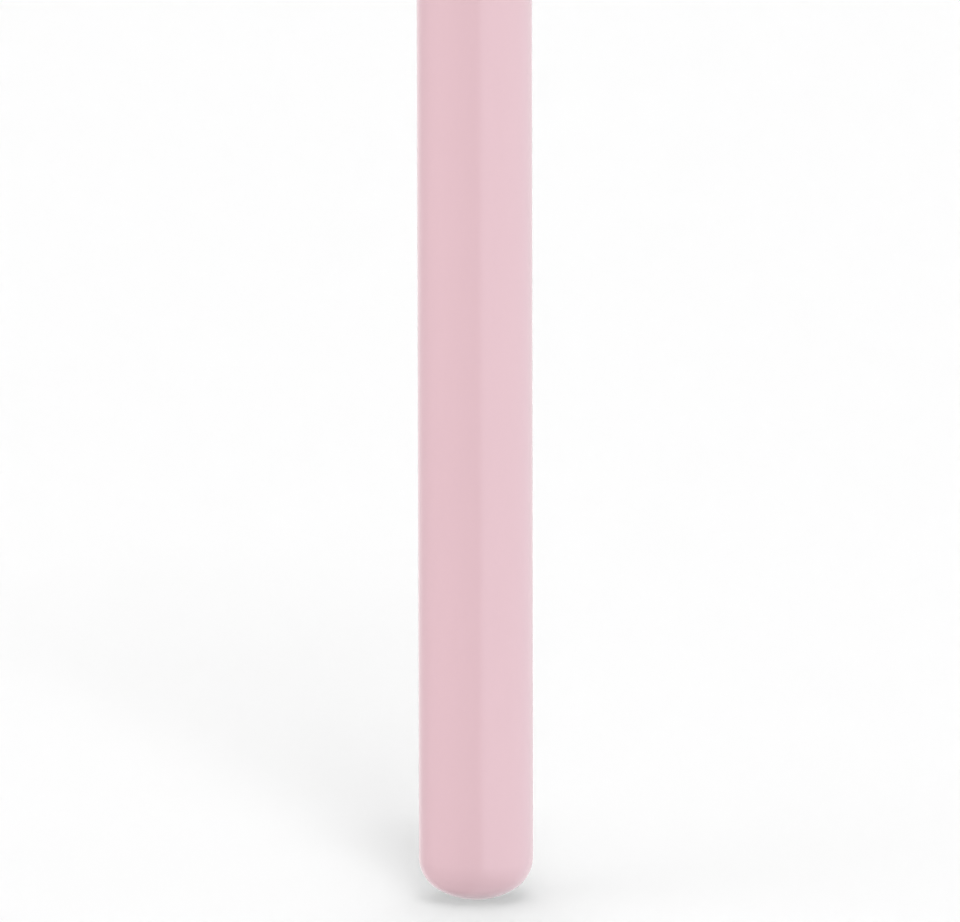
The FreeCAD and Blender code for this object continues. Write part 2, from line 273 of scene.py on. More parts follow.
class StudioSettings(bpy.types.PropertyGroup):
    """Floor, light and camera."""

    floor: colour("Floor", "Plain pale floor", (0.895, 0.895, 0.895))
    floor_depth: length("Floor depth", "How far light spreads in the milky floor", 0.013)
    floor_reach: length("Floor reach", "Half width of the floor", 6.0)
    surround: brightness("Surround", "Light that comes from all round", 0.231)
    softbox: colour("Softbox", "What shiny surfaces see to the right", (0.86, 0.94, 1.0))
    softbox_light: brightness("Softbox light", "How bright that looks", 1.2)
    dark_side: colour("Dark side", "What shiny surfaces see to the left of the camera", (0.22, 0.22, 0.22))
    softbox_edge: angle("Softbox edge", "Where the softbox starts, to the right of the camera", 12)
    camera_distance: length("Camera distance", "Camera to the point that it looks at", 1.0)
    camera_height: angle("Camera height", "Camera above the horizon", 10)
    camera_roll: angle("Camera roll", "Lean of the camera to its right", -0.11)
    aim_height: length("Aim height", "Height of the point that the camera looks at", 0.0311)
    aim_side: length("Aim side", "That point to the right of the brush's axis", 0.00033)


class BrushSettings(bpy.types.PropertyGroup):
    """All settings of the brush."""

    handle: PointerProperty(type=HandleSettings, name="Handle", description="Turned handle")
    ferrule: PointerProperty(type=FerruleSettings, name="Ferrule", description="Pressed metal tube")
    thread: PointerProperty(type=ThreadSettings, name="Thread", description="Tying thread")
    hair: PointerProperty(type=HairSettings, name="Hair", description="Tuft of hair")
    hidden: PointerProperty(type=HiddenSettings, name="Hidden", description="Adhesive and resin")
    studio: PointerProperty(type=StudioSettings, name="Studio", description="Floor, light and camera")


# Materials

def shade(tone, factor):
    """A colour made lighter or darker."""
    return tuple(part * factor for part in tone)


class Nodes:
    """A node tree in the making, with short calls that add nodes to it."""

    def __init__(self, tree):
        self.tree = tree

    def feed(self, socket, value):
        """Links a socket to another node's output, or sets the socket's own value."""
        if isinstance(value, bpy.types.NodeSocket):
            self.tree.links.new(value, socket)
        elif socket.type == "RGBA":
            socket.default_value = (*value, 1)
        else:
            socket.default_value = value

    def node(self, kind, inputs, **settings):
        """A new node with its settings and its inputs, which go by name or place."""
        made = self.tree.nodes.new(f"ShaderNode{kind}")
        for name, value in settings.items():
            setattr(made, name, value)
        for socket, value in inputs.items():
            self.feed(made.inputs[socket], value)
        return made

    def between(self, value, low, high, start=0, end=1):
        """Runs from low to high while a value runs from start to end."""
        limits = {"From Min": start, "From Max": end, "To Min": low, "To Max": high}
        return self.node("MapRange", {"Value": value, **limits}).outputs[0]

    def blend(self, factor, first, second):
        """Runs from one colour to another."""
        return self.node("Mix", {0: factor, 6: first, 7: second}, data_type="RGBA").outputs[2]

    def combine(self, operation, first, second):
        """One value worked out of two."""
        return self.node("Math", {0: first, 1: second}, operation=operation).outputs[0]


class Finish(Nodes):
    """A material in the making: its Principled shader, and calls for the patterns in front of it."""

    def __init__(self, name, **values):
        self.material = bpy.data.materials.new(name)
        self.material.use_nodes = True
        super().__init__(self.material.node_tree)
        self.shader = self.tree.nodes["Principled BSDF"]
        self.set(**values)

    def set(self, **values):
        """Feeds the shader's sockets."""
        for socket, value in values.items():
            self.feed(self.shader.inputs[socket.replace("_", " ")], value)

    def place(self):
        """Where a point lies in the brush's own frame."""
        return self.node("TexCoord", {}).outputs["Object"]

    def noise(self, width, height=None, detail=2):
        """Cloudy noise from 0 to 1, with patches of that width and height."""
        tall = width if height is None else height
        scale = (1 / width, 1 / width, 1 / tall)
        scaled = self.node("Mapping", {"Vector": self.place(), "Scale": scale}).outputs[0]
        return self.node("TexNoise", {"Vector": scaled, "Scale": 1, "Detail": detail}).outputs[0]

    def up_the_brush(self, low, high):
        """Runs from 0 to 1 between two heights."""
        height = self.node("SeparateXYZ", {0: self.place()}).outputs[2]
        return self.between(height, 0, 1, start=low, end=high)

    def varied(self, pattern, tone, darkest, lightest):
        """A colour that a pattern takes from its darkest shade to its lightest."""
        return self.blend(pattern, shade(tone, darkest), shade(tone, lightest))

    def bump(self, height, depth):
        """Relief of that depth."""
        return self.node("Bump", {"Height": height, "Distance": depth}).outputs[0]


def lacquer_finish(settings):
    """Satin pink lacquer: even pigment with faint clouds, and the slight ripple of sprayed coats."""
    finish = Finish("pink_lacquer", Specular_IOR_Level=0.75)
    clouds = finish.noise(width=0.009, height=0.022, detail=3)
    pigment = finish.noise(width=0.0003, detail=1)
    ripple = finish.noise(width=0.0016, height=0.0022)
    tone = finish.varied(clouds, settings.lacquer, darkest=0.985, lightest=1.015)
    flecks = finish.between(pigment, low=0, high=0.12)
    finish.set(
        Base_Color=finish.blend(flecks, tone, shade(settings.lacquer, 1.1)),
        Roughness=finish.between(clouds, settings.roughness - 0.03, settings.roughness + 0.03),
        Normal=finish.bump(ripple, depth=0.000004),
    )
    return finish.material


def bare_wood_finish(settings):
    """Turned wood with its grain along the handle."""
    finish = Finish("bare_wood", Specular_IOR_Level=0.3)
    grain = finish.noise(width=0.0005, height=0.012, detail=5)
    finish.set(
        Base_Color=finish.varied(grain, settings.wood, darkest=0.7, lightest=1.2),
        Roughness=finish.between(grain, low=0.7, high=0.55),
        Normal=finish.bump(grain, depth=0.00003),
    )
    return finish.material


def rose_metal_finish(settings):
    """Anodised metal with fine lines brushed round it."""
    finish = Finish("rose_metal", Metallic=1, Anisotropic=0.45)
    lines = finish.noise(width=0.012, height=0.00006, detail=3)
    patches = finish.noise(width=0.004)
    finish.set(
        Base_Color=finish.varied(patches, settings.metal, darkest=0.96, lightest=1.03),
        Roughness=finish.between(lines, settings.roughness - 0.06, settings.roughness + 0.1),
        Normal=finish.bump(lines, depth=0.0000025),
        Tangent=finish.node("Tangent", {}, direction_type="RADIAL", axis="Z").outputs[0],
    )
    return finish.material


def hair_finish(settings):
    """Silky hair: dark at the ferrule, lighter at the tip, and each hair a little different."""
    finish = Finish("soft_hair", Roughness=0.45, Specular_IOR_Level=0.25)
    tone = finish.node("Attribute", {}, attribute_name="tone").outputs["Fac"]
    drift = finish.between(tone, low=-0.14, high=0.14)
    rise = finish.combine("ADD", finish.up_the_brush(MOUTH, HAIR_TIP), drift)
    to_middle = finish.between(rise, low=0, high=1, start=0, end=0.55)
    to_tip = finish.between(rise, low=0, high=1, start=0.5, end=1)
    lower = finish.blend(to_middle, settings.root_colour, settings.middle_colour)
    whole = finish.blend(to_tip, lower, settings.tip_colour)
    darkening = finish.between(tone, low=0.35, high=0)
    finish.set(Base_Color=finish.blend(darkening, whole, shade(settings.root_colour, 0.7)))
    return finish.material


def cotton_finish(settings):
    """Matt cotton yarn with loose fibre."""
    finish = Finish("cotton_thread", Sheen_Weight=0.3, Specular_IOR_Level=0.2)
    fibre = finish.noise(width=0.00004, height=0.00012, detail=4)
    finish.set(
        Base_Color=finish.varied(fibre, settings.cotton, darkest=0.82, lightest=1.08),
        Roughness=finish.between(fibre, low=0.95, high=0.8),
        Normal=finish.bump(fibre, depth=0.00001),
    )
    return finish.material


def adhesive_finish(settings):
    """Cured wood glue, matt and slightly cloudy."""
    finish = Finish("adhesive", Specular_IOR_Level=0.4)
    clouds = finish.noise(width=0.0012, detail=4)
    finish.set(
        Base_Color=finish.varied(clouds, settings.adhesive, darkest=0.86, lightest=1.06),
        Roughness=finish.between(clouds, low=0.5, high=0.68),
        Normal=finish.bump(clouds, depth=0.00002),
    )
    return finish.material


def resin_finish(settings):
    """Amber resin, glossy, with cloudy depth."""
    finish = Finish("clear_resin", Transmission_Weight=0.35, IOR=1.54)
    clouds = finish.noise(width=0.0015, detail=3)
    finish.set(
        Base_Color=finish.varied(clouds, settings.resin, darkest=0.8, lightest=1.1),
        Roughness=finish.between(clouds, low=0.08, high=0.2),
    )
    return finish.material


# Meshes

def ring(half_width, half_thickness, height, sides):
    """Points round an oval at one height."""
    turn = np.arange(sides) * math.tau / sides
    across = half_width * np.cos(turn)
    through = half_thickness * np.sin(turn)
    return np.stack((across, through, np.full(sides, height)), axis=1)


def skin_faces(ring_count, sides, closed):
    """Faces between rings of points that follow one another, and back to the first ring if closed."""
    place = np.arange(sides)
    following = (place + 1) % sides
    faces = []
    for low in range(ring_count if closed else ring_count - 1):
        high = (low + 1) % ring_count
        faces.append(np.stack((low * sides + place, low * sides + following,
                               high * sides + following, high * sides + place), axis=1))
    return np.concatenate(faces).tolist()


def closed_skin(rings):
    """Points and faces of a skin through rings, with a flat face over both ends."""
    sides = len(rings[0])
    points = np.concatenate(rings)
    faces = skin_faces(len(rings), sides, closed=False)
    last = len(points) - sides
    faces.append(list(range(sides))[::-1])
    faces.append(list(range(last, last + sides)))
    return points.tolist(), faces


def tube_rings(route, across, up, radius, sides):
    """Rings round a route, each in the plane of its two side directions."""
    turn = (np.arange(sides) * math.tau / sides)[None, :, None]
    circle = across[:, None, :] * np.cos(turn) + up[:, None, :] * np.sin(turn)
    return route[:, None, :] + circle * np.reshape(radius, (-1, 1, 1))


def new_piece(name, points, faces, *materials):
    """A smooth mesh object in the scene."""
    mesh = bpy.data.meshes.new(name)
    mesh.from_pydata(points, [], faces)
    mesh.validate()
    mesh.shade_smooth()
    for material in materials:
        mesh.materials.append(material)
    piece = bpy.data.objects.new(name, mesh)
    bpy.context.scene.collection.objects.link(piece)
    return piece


def dress_node(piece, node):
    """Lets a piece stand for a CAD node: hangs it on the brush's body and hides the node."""
    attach(piece, BODY)
    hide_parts(node)


# Shape of the tube, which the pieces inside it follow

def smooth_step(step):
    """Runs from 0 to 1 and is level at both ends."""
    return step * step * (3 - 2 * step)


def pressed_half_sizes(height, pressed_length, inset):
    """Half width and half thickness of the tube at a height, taken in by inset.

    The pressing bends the sheet and doesn't stretch it, so the girth stays the same.
    """
    pressing = smooth_step(np.clip((height - MOUTH + pressed_length) / pressed_length, 0, 1))
    half_thickness = TUBE - pressing * (TUBE - MOUTH_THICK)
    half_width = np.sqrt(2 * TUBE**2 - half_thickness**2)
    return half_width - inset, half_thickness - inset


def crimp_middles(settings):
    """Heights of the rolled crimps."""
    first = SHOULDER + settings.crimp_offset
    return [first + place * settings.crimp_spacing for place in range(settings.crimps)]


def crimped_levels(settings, inset):
    """Levels (radius, height) of the crimped tube, taken in by inset on every wall and flank."""
    half = settings.crimp_width / 2
    flank = math.hypot(1, settings.crimp_depth / half)
    reach = half * (1 + inset * (flank - 1) / settings.crimp_depth)
    levels = []
    for middle in crimp_middles(settings):
        levels.append((TUBE - inset, middle - reach))
        levels.append((TUBE - settings.crimp_depth - inset * flank, middle))
        levels.append((TUBE - inset, middle + reach))
    return levels


# Handle

def handle_profile(handle, ferrule):
    """Half outline of the handle, from domed end to end of peg, and how many of its rings are lacquered."""
    corner_height = handle.corner_radius + handle.crown_rise
    corner_centre = GRIP_RADIUS - handle.corner_radius
    crown = (corner_centre**2 + corner_height**2 - handle.corner_radius**2) / (2 * handle.crown_rise)
    meeting = math.atan2(corner_centre, crown - corner_height)

    profile = []
    for turn in np.linspace(CROWN_START, meeting, CROWN_RINGS):
        profile.append((crown * math.sin(turn), crown * (1 - math.cos(turn))))
    for turn in np.linspace(meeting, math.pi / 2, CORNER_RINGS)[1:]:
        profile.append((corner_centre + handle.corner_radius * math.sin(turn),
                        corner_height - handle.corner_radius * math.cos(turn)))

    neck = TUBE + handle.shoulder_step
    slope = (GRIP_RADIUS - neck) / (SHOULDER - GRIP_TOP)
    blend_start = GRIP_TOP - handle.taper_blend / 2
    taper_end = SHOULDER - handle.shoulder_round
    for height in np.linspace(corner_height, blend_start, GRIP_RINGS)[1:]:
        profile.append((GRIP_RADIUS, height))
    for height in np.linspace(blend_start, taper_end, TAPER_RINGS)[1:]:
        past = height - blend_start
        eased = past**2 / (2 * handle.taper_blend)
        straight = past - handle.taper_blend / 2
        profile.append((GRIP_RADIUS - slope * (eased if past < handle.taper_blend else straight), height))

    seat = profile[-1][0] - handle.shoulder_round
    for turn in np.linspace(0, math.pi / 2, SHOULDER_RINGS)[1:]:
        profile.append((seat + handle.shoulder_round * math.cos(turn),
                        taper_end + handle.shoulder_round * math.sin(turn)))
    lacquered = len(profile)

    inset = ferrule.wall + handle.glue_film
    peg = TUBE - inset
    profile.append((peg, SHOULDER))
    profile.extend(crimped_levels(ferrule, inset))
    profile.append((peg, PEG_END - handle.peg_chamfer))
    profile.append((peg - handle.peg_chamfer, PEG_END))
    return profile, lacquered


class MAKEUP_BRUSH_OT_add_handle(bpy.types.Operator):
    """Turns the handle and lacquers it"""

    bl_idname = "makeup_brush.add_handle"
    bl_label = "Handle"

    def execute(self, context):
        brush = context.scene.makeup_brush
        settings = brush.handle
        profile, lacquered = handle_profile(settings, brush.ferrule)
        rings = [ring(radius, radius, height, settings.sides) for radius, height in profile]
        finishes = (lacquer_finish(settings), bare_wood_finish(settings))
        piece = new_piece("lacquered_handle", *closed_skin(rings), *finishes)
        first_bare = (lacquered - 1) * settings.sides
        for face in piece.data.polygons:
            if min(face.vertices) >= first_bare:
                face.material_index = 1
        # The photograph's floor is neutral, so the handle throws no pink light onto it.
        piece.visible_diffuse = False
        dress_node(piece, "handle")
        return {"FINISHED"}


# Ferrule

def crimp_groove(settings, height):
    """Depth of the rounded crimps at a height."""
    depth = 0
    for middle in crimp_middles(settings):
        away = min(1, abs(height - middle) / (settings.crimp_width / 2))
        depth += settings.crimp_depth * (1 + math.cos(math.pi * away)) / 2
    return depth


def ferrule_outside(settings):
    """Rings up the outside of the ferrule, with rounded crimps and a rounded lip."""
    lip = settings.wall / 2
    rings = [(TUBE - lip, TUBE - lip, SHOULDER)]
    heights = [SHOULDER + lip]
    for middle in crimp_middles(settings):
        heights.extend(middle + np.linspace(-0.5, 0.5, CRIMP_RINGS) * settings.crimp_width)
    heights.extend(np.linspace(MOUTH - settings.pressed_length, MOUTH - lip, PRESSED_RINGS))
    for height in heights:
        half_width, half_thickness = pressed_half_sizes(height, settings.pressed_length, 0)
        groove = crimp_groove(settings, height)
        rings.append((half_width - groove, half_thickness - groove, height))
    half_width, half_thickness, _ = rings[-1]
    for turn in np.linspace(0, math.pi, LIP_RINGS)[1:]:
        inset = lip * (1 - math.cos(turn))
        rings.append((half_width - inset, half_thickness - inset, MOUTH - lip + lip * math.sin(turn)))
    return rings


def ferrule_inside(settings):
    """Rings down the bore of the ferrule."""
    rings = []
    for height in np.linspace(MOUTH - settings.wall, MOUTH - settings.pressed_length, BORE_RINGS):
        rings.append((*pressed_half_sizes(height, settings.pressed_length, settings.wall), height))
    for radius, height in crimped_levels(settings, settings.wall)[::-1]:
        rings.append((radius, radius, height))
    rings.append((TUBE - settings.wall, TUBE - settings.wall, SHOULDER))
    return rings


class MAKEUP_BRUSH_OT_add_ferrule(bpy.types.Operator):
    """Presses the ferrule and rolls its crimps"""

    bl_idname = "makeup_brush.add_ferrule"
    bl_label = "Ferrule"

    def execute(self, context):
        settings = context.scene.makeup_brush.ferrule
        outline = ferrule_outside(settings) + ferrule_inside(settings)
        rings = [ring(*sizes, settings.sides) for sizes in outline]
        points = np.concatenate(rings).tolist()
        faces = skin_faces(len(rings), settings.sides, closed=True)
        piece = new_piece("pressed_ferrule", points, faces, rose_metal_finish(settings))
        dress_node(piece, "ferrule")
        return {"FINISHED"}


# Adhesive and resin

class MAKEUP_BRUSH_OT_finish_hidden(bpy.types.Operator):
    """Gives the adhesive and the resin their finish"""

    bl_idname = "makeup_brush.finish_hidden"
    bl_label = "Adhesive and resin"

    def execute(self, context):
        settings = context.scene.makeup_brush.hidden
        for node, finish in (("peg_glue", adhesive_finish), ("resin_plug", resin_finish)):
            slots = frame["nodes"][node].data.materials
            slots.clear()
            slots.append(finish(settings))
        return {"FINISHED"}


# Tying thread

def thread_mesh(settings):
    """Points and faces of the thread: yarns twisted round its middle line, which winds round the root."""
    loop = THREAD_HIGH.x - settings.diameter / 2
    start = (THREAD_LOW.z + THREAD_HIGH.z - settings.turns * settings.pitch) / 2
    yarn = settings.diameter * YARN_SHARE
    steps = settings.turns * YARN_RINGS
    turn = np.linspace(0, settings.turns * math.tau, steps)
    outward = np.stack((np.cos(turn), np.sin(turn), np.zeros(steps)), axis=1)
    upward = np.tile((0.0, 0.0, 1.0), (steps, 1))
    middle = outward * loop + upward * (start + settings.pitch * turn / math.tau)[:, None]
    points = []
    faces = []
    for ply in range(settings.plies):
        twist = turn * loop * math.tau / settings.lay + ply * math.tau / settings.plies
        offset = outward * np.cos(twist)[:, None] + upward * np.sin(twist)[:, None]
        route = middle + offset * (settings.diameter / 2 - yarn)
        rings = tube_rings(route, upward, outward, np.full(steps, yarn), YARN_SIDES)
        ply_points, ply_faces = closed_skin(list(rings))
        faces.extend([corner + len(points) for corner in face] for face in ply_faces)
        points.extend(ply_points)
    return points, faces


class MAKEUP_BRUSH_OT_add_thread(bpy.types.Operator):
    """Winds the twisted thread round the root of the hair"""

    bl_idname = "makeup_brush.add_thread"
    bl_label = "Tying thread"

    def execute(self, context):
        settings = context.scene.makeup_brush.thread
        piece = new_piece("twisted_thread", *thread_mesh(settings), cotton_finish(settings))
        dress_node(piece, "binding_thread")
        return {"FINISHED"}


# Hair

def scattered_seats(number):
    """Places spread evenly over a disc of radius 1."""
    place = np.arange(number) + 0.5
    reach = np.sqrt(place / number)
    turn = place * GOLDEN_ANGLE
    return np.stack((reach * np.cos(turn), reach * np.sin(turn)), axis=1)


@dataclass
class Strands:
    """Hairs, one row each."""

    seats: np.ndarray
    to_lock: np.ndarray
    tips: np.ndarray
    phases: np.ndarray
    bends: np.ndarray
    tones: np.ndarray

    def chosen(self, picked):
        """The picked hairs alone."""
        return Strands(**{name: rows[picked] for name, rows in vars(self).items()})


def draw_strands(settings):
    """Spreads the hairs over the tuft, and gives each its lock, its tip, its sway and its tone."""
    draw = np.random.default_rng(settings.seed)
    number = settings.strands
    seats = scattered_seats(number) + draw.normal(0, HAIR_STRAY / math.sqrt(number), (number, 2))
    seats /= np.maximum(np.linalg.norm(seats, axis=1, keepdims=True), 1)
    middles = scattered_seats(settings.locks) + draw.normal(0, LOCK_STRAY, (settings.locks, 2))
    lock = np.linalg.norm(seats[:, None] - middles[None], axis=2).argmin(axis=1)

    reach = (1 - settings.gather) * np.linalg.norm(seats, axis=1)
    shorter_lock = draw.exponential(settings.uneven / 2, settings.locks)[lock]
    shorter_hair = draw.exponential(settings.uneven / 2, number)
    outline = BELLY + (HAIR_TIP - BELLY) * np.sqrt(1 - reach**2)
    lock_tones = draw.uniform(-LOCK_TONE, LOCK_TONE, settings.locks)[lock]
    return Strands(
        seats=seats,
        to_lock=middles[lock] - seats,
        tips=outline - (shorter_lock + shorter_hair),
        phases=draw.uniform(0, math.tau, (number, 2)),
        bends=draw.uniform(FEWEST_BENDS, MOST_BENDS, (number, 2)),
        tones=np.clip(draw.uniform(0, 1, number) + lock_tones, 0, 1),
    )


def strand_routes(strands, low_heights, settings, ferrule):
    """The line of every hair: given heights up to the belly, then even steps from there to its own tip."""
    number = len(strands.tips)
    tips = strands.tips[:, None]
    high_steps = np.linspace(0, 1, TIP_RINGS)[1:]
    heights = np.hstack((np.tile(low_heights, (number, 1)), BELLY + (tips - BELLY) * high_steps))

    wide, thick = pressed_half_sizes(heights, ferrule.pressed_length, ferrule.wall + settings.clearance)
    flare = smooth_step(np.clip((heights - MOUTH) / (BELLY - MOUTH), 0, 1))
    wide = wide + flare * (HAIR_WIDE - HAIR_MOUTH_WIDE)
    thick = thick + flare * (HAIR_THICK - HAIR_MOUTH_THICK)

    over_belly = np.clip((heights - BELLY) / (tips - BELLY), 0, 1)[:, :, None]
    out_of_mouth = np.clip((heights - MOUTH) / (tips - MOUTH), 0, 1)[:, :, None]
    lean = 1 - settings.gather * over_belly**2
    closing = settings.locking * out_of_mouth**2
    places = (strands.seats[:, None] + strands.to_lock[:, None] * closing) * lean
    sway = np.sin(strands.phases[:, None] + math.tau * strands.bends[:, None] * out_of_mouth)
    sway *= settings.wave * out_of_mouth
    across = places[:, :, 0] * wide + sway[:, :, 0]
    through = places[:, :, 1] * thick + sway[:, :, 1]
    return np.stack((across, through, heights), axis=2)


def strand_mesh(routes, diameter):
    """Points and faces of hairs along routes, each closed at its root and pointed at its tip."""
    number, steps, _ = routes.shape
    along = np.gradient(routes, axis=1)
    along /= np.linalg.norm(along, axis=2, keepdims=True)
    across = np.cross(along, (1.0, 0.0, 0.0))
    across /= np.linalg.norm(across, axis=2, keepdims=True)
    up = np.cross(along, across)
    radius = diameter / 2 * (1 - HAIR_THINNING * np.linspace(0, 1, steps) ** 3)
    rings = tube_rings(routes.reshape(-1, 3), across.reshape(-1, 3), up.reshape(-1, 3),
                       np.tile(radius, number), HAIR_SIDES)
    tip = (steps - 1) * HAIR_SIDES
    points = np.concatenate((rings.reshape(number, -1, 3)[:, :tip], routes[:, -1:]), axis=1)

    side = np.arange(HAIR_SIDES)
    last = tip - HAIR_SIDES
    quads = np.array(skin_faces(steps - 1, HAIR_SIDES, closed=False))
    pointed = np.stack((last + side, last + (side + 1) % HAIR_SIDES, np.full(HAIR_SIDES, tip)), axis=1)
    triangles = np.concatenate((side[None, ::-1], pointed))
    first = (np.arange(number) * (tip + 1))[:, None, None]
    faces = (first + quads).reshape(-1, 4).tolist() + (first + triangles).reshape(-1, 3).tolist()
    return points.reshape(-1, 3).tolist(), faces


def unwrap_hairs(piece, number, steps):
    """Lays every hair into its own cell of the texture, root at the bottom and tip at the top."""
    step, side = np.divmod(np.arange((steps - 2) * HAIR_SIDES), HAIR_SIDES)
    across = np.stack((side, side + 1, side + 1, side), axis=1) / HAIR_SIDES
    up = np.stack((step, step, step + 1, step + 1), axis=1) / (steps - 1)
    quads = np.stack((across, up), axis=2)
    last_ring = (steps - 2) / (steps - 1)
    triangles = [[(1, 0), (0, 0), (0.5, -CELL_MARGIN)]]
    for left in range(HAIR_SIDES):
        triangles.append([(left / HAIR_SIDES, last_ring),
                          ((left + 1) / HAIR_SIDES, last_ring),
                          ((left + 0.5) / HAIR_SIDES, 1)])

    cells = math.ceil(math.sqrt(number))
    row, column = np.divmod(np.arange(number), cells)
    corner = np.stack((column, row), axis=1)[:, None, None] + CELL_MARGIN
    inner = 1 - 2 * CELL_MARGIN
    places = [(corner + inner * np.array(shapes)).ravel() / cells for shapes in (quads, triangles)]
    layout = piece.data.uv_layers.new(name=TEXTURE_LAYOUT)
    layout.uv.foreach_set("vector", np.concatenate(places).astype(np.float32))


def add_hairs(name, strands, low_heights, brush, finish):
    """One piece of many hairs, each with its tone and its own cell of the texture."""
    routes = strand_routes(strands, low_heights, brush.hair, brush.ferrule)
    piece = new_piece(name, *strand_mesh(routes, brush.hair.diameter), finish)
    number, steps, _ = routes.shape
    points_each = len(piece.data.vertices) // number
    tone = piece.data.attributes.new("tone", "FLOAT", "POINT")
    tone.data.foreach_set("value", np.repeat(strands.tones, points_each))
    unwrap_hairs(piece, number, steps)
    dress_node(piece, "hair_tuft")


def hair_root_mesh(settings, ferrule):
    """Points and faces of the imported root: tied, then held in the ferrule, with its hairs as fine flutes."""
    flutes = 1 - FLUTE_DEPTH * (np.arange(ROOT_SIDES) % 2)[:, None]
    press_start = MOUTH - ferrule.pressed_length
    inset = ferrule.wall + settings.clearance
    levels = [(ROOT_RADIUS, ROOT_RADIUS, height) for height in np.linspace(ROOT_END, TIED_END, TIED_RINGS)]
    for height in np.linspace(press_start, MOUTH - settings.seat_depth / 2, HELD_RINGS):
        levels.append((*pressed_half_sizes(height, ferrule.pressed_length, inset), height))
    rings = []
    for half_width, half_thickness, height in levels:
        points = ring(half_width, half_thickness, height, ROOT_SIDES)
        points[:, :2] *= flutes
        rings.append(points)
    return closed_skin(rings)


class MAKEUP_BRUSH_OT_add_hair(bpy.types.Operator):
    """Sets the hair into the ferrule: its outer hairs, the tips of its core and its tied root"""

    bl_idname = "makeup_brush.add_hair"
    bl_label = "Hair"

    def execute(self, context):
        brush = context.scene.makeup_brush
        settings = brush.hair
        finish = hair_finish(settings)
        strands = draw_strands(settings)
        in_core = np.linalg.norm(strands.seats, axis=1) < settings.core
        mantle_heights = [MOUTH - settings.seat_depth, *np.linspace(MOUTH, BELLY, MANTLE_RINGS)]
        core_heights = np.linspace(BELLY - settings.core_depth, BELLY, CORE_RINGS)
        add_hairs("hair_mantle", strands.chosen(~in_core), mantle_heights, brush, finish)
        add_hairs("hair_core", strands.chosen(in_core), core_heights, brush, finish)
        root = new_piece("hair_root", *hair_root_mesh(settings, brush.ferrule), finish)
        dress_node(root, "hair_tuft")
        return {"FINISHED"}


# Studio

@dataclass
class Lamp:
    """A broad soft light from far away. Its angles are in degrees, its turn to the right of the camera."""

    name: str
    brightness: float
    turn: float
    height: float
    spread: float


LAMPS = (
    Lamp("key", brightness=0.25, turn=10, height=55, spread=14),
    Lamp("top", brightness=0.075, turn=-47, height=76, spread=20),
    Lamp("overhead", brightness=0.14, turn=8, height=82, spread=5),
    Lamp("back", brightness=0.296, turn=180, height=62, spread=45),
    Lamp("left", brightness=0.28, turn=-75, height=25, spread=60),
    Lamp("right", brightness=0.195, turn=75, height=25, spread=60),
)


def direction(turn, height):
    """Towards a light or camera at that turn to the right of the front and that angle above the floor."""
    return Vector((math.sin(turn) * math.cos(height), -math.cos(turn) * math.cos(height), math.sin(height)))


def add_floor(settings):
    """A wide milky floor that keeps shadows and that reflections look through, into the studio below it."""
    finish = Finish("pale_floor", Roughness=1, Specular_IOR_Level=0, Subsurface_Weight=1,
                    Subsurface_Radius=(1, 1, 1), Subsurface_Scale=settings.floor_depth)
    finish.shader.subsurface_method = "BURLEY"
    clouds = finish.noise(width=0.4)
    finish.set(Base_Color=finish.varied(clouds, settings.floor, darkest=0.995, lightest=1))
    reflected = finish.node("LightPath", {}).outputs["Is Glossy Ray"]
    clear = finish.node("BsdfTransparent", {}).outputs[0]
    mixed = finish.node("MixShader", {0: reflected, 1: finish.shader.outputs[0], 2: clear})
    finish.feed(finish.tree.nodes["Material Output"].inputs["Surface"], mixed.outputs[0])
    reach = settings.floor_reach
    corners = [(-reach, -reach, 0), (reach, -reach, 0), (reach, reach, 0), (-reach, reach, 0)]
    new_piece("floor", corners, [(0, 1, 2, 3)], finish.material)


def add_surround(settings):
    """Even light from all round. The camera sees it white, and shiny surfaces see a studio in its place."""
    world = bpy.data.worlds.new("surround")
    world.use_nodes = True
    nodes = Nodes(world.node_tree)
    white = (1, 1, 1)
    even = (settings.surround,) * 3
    softbox = shade(settings.softbox, settings.softbox_light)
    path = nodes.node("LightPath", {}).outputs
    towards = nodes.node("TexCoord", {}).outputs["Generated"]
    apart = nodes.node("SeparateXYZ", {0: towards}).outputs
    right = (math.cos(settings.softbox_edge), math.sin(settings.softbox_edge), 0)
    across = nodes.node("VectorMath", {0: towards, 1: right}, operation="DOT_PRODUCT").outputs["Value"]
    to_right = nodes.between(across, 0, 1, start=-SOFTBOX_BLUR, end=SOFTBOX_BLUR)
    to_back = nodes.between(apart["Y"], 0, 1, start=WHITE_START, end=WHITE_FULL)
    to_ground = nodes.between(apart["Z"], 0, DARK_SHARE, start=DARK_START, end=DARK_FULL)
    studio = nodes.blend(to_right, settings.dark_side, softbox)
    studio = nodes.blend(to_back, studio, white)
    studio = nodes.blend(to_ground, studio, settings.dark_side)
    reflected = nodes.combine("MAXIMUM", path["Is Glossy Ray"], path["Is Transmission Ray"])
    seen = nodes.blend(path["Is Camera Ray"], nodes.blend(reflected, even, studio), white)
    nodes.feed(world.node_tree.nodes["Background"].inputs["Color"], seen)
    bpy.context.scene.world = world


def add_lamp(lamp):
    """Hangs a lamp, which lights a white surface that faces it to its brightness."""
    light = bpy.data.lights.new(lamp.name, "SUN")
    light.energy = lamp.brightness * math.pi
    light.angle = math.radians(lamp.spread)
    holder = bpy.data.objects.new(lamp.name, light)
    towards = direction(math.radians(lamp.turn), math.radians(lamp.height))
    holder.rotation_euler = towards.to_track_quat("Z", "Y").to_euler()
    bpy.context.scene.collection.objects.link(holder)


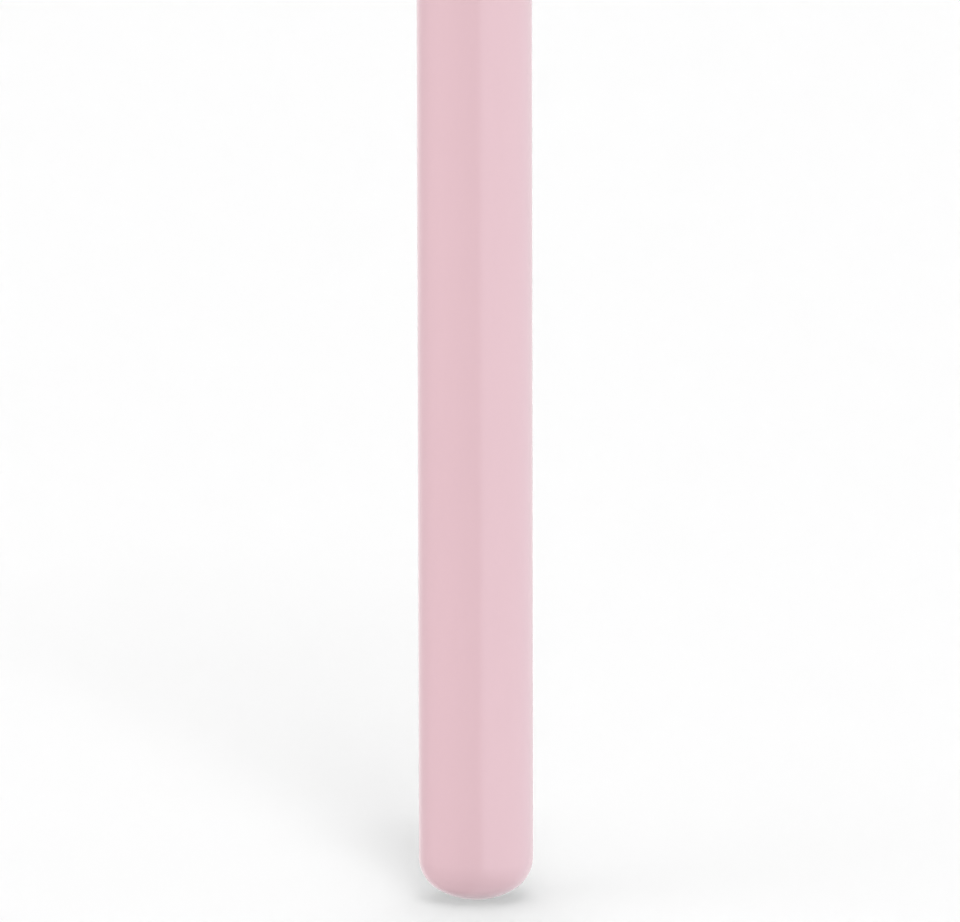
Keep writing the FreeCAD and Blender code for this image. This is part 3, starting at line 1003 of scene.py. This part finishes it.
def add_camera(settings):
    """A long lens at the photograph's angle, which shows the grip as wide as the photograph does."""
    camera = bpy.data.cameras.new("camera")
    view_width = 2 * GRIP_RADIUS * PHOTO_WIDTH / GRIP_WIDTH_IN_PHOTO
    camera.lens = camera.sensor_width * settings.camera_distance / view_width
    camera.clip_start = settings.camera_distance / 100
    holder = bpy.data.objects.new("camera", camera)
    backwards = direction(0, settings.camera_height)
    aim = Vector((settings.aim_side, 0, settings.aim_height))
    holder.location = aim + backwards * settings.camera_distance
    roll = Quaternion((0, 0, 1), settings.camera_roll)
    holder.rotation_euler = (backwards.to_track_quat("Z", "Y") @ roll).to_euler()
    bpy.context.scene.collection.objects.link(holder)
    bpy.context.scene.camera = holder


class MAKEUP_BRUSH_OT_set_stage(bpy.types.Operator):
    """Lays the floor, sets the light and places the camera"""

    bl_idname = "makeup_brush.set_stage"
    bl_label = "Studio"

    def execute(self, context):
        settings = context.scene.makeup_brush.studio
        context.scene.view_settings.view_transform = "Standard"
        add_floor(settings)
        add_surround(settings)
        for lamp in LAMPS:
            add_lamp(lamp)
        add_camera(settings)
        return {"FINISHED"}


# Add-on

STEPS = (
    (MAKEUP_BRUSH_OT_add_handle, "handle"),
    (MAKEUP_BRUSH_OT_add_ferrule, "ferrule"),
    (MAKEUP_BRUSH_OT_finish_hidden, "hidden"),
    (MAKEUP_BRUSH_OT_add_thread, "thread"),
    (MAKEUP_BRUSH_OT_add_hair, "hair"),
    (MAKEUP_BRUSH_OT_set_stage, "studio"),
)


class VIEW3D_PT_makeup_brush(bpy.types.Panel):
    """Lists the brush's operators and settings"""

    bl_label = "Eyeshadow brush"
    bl_space_type = "VIEW_3D"
    bl_region_type = "UI"
    bl_category = "Brush"

    def draw(self, context):
        for operator, group in STEPS:
            self.layout.operator(operator.bl_idname)
            settings = getattr(context.scene.makeup_brush, group)
            for name in settings.__annotations__:
                self.layout.prop(settings, name)


CLASSES = (
    HandleSettings,
    FerruleSettings,
    ThreadSettings,
    HairSettings,
    HiddenSettings,
    StudioSettings,
    BrushSettings,
    *(operator for operator, _ in STEPS),
    VIEW3D_PT_makeup_brush,
)


def register():
    """Makes the classes and their settings known to Blender."""
    for each in CLASSES:
        bpy.utils.register_class(each)
    bpy.types.Scene.makeup_brush = PointerProperty(type=BrushSettings)


def unregister():
    """Takes the settings and classes away again."""
    del bpy.types.Scene.makeup_brush
    for each in reversed(CLASSES):
        bpy.utils.unregister_class(each)


def main():
    """Builds the brush and its studio."""
    register()
    bpy.ops.makeup_brush.add_handle()
    bpy.ops.makeup_brush.add_ferrule()
    bpy.ops.makeup_brush.finish_hidden()
    bpy.ops.makeup_brush.add_thread()
    bpy.ops.makeup_brush.add_hair()
    bpy.ops.makeup_brush.set_stage()


if __name__ == "__main__":
    main()
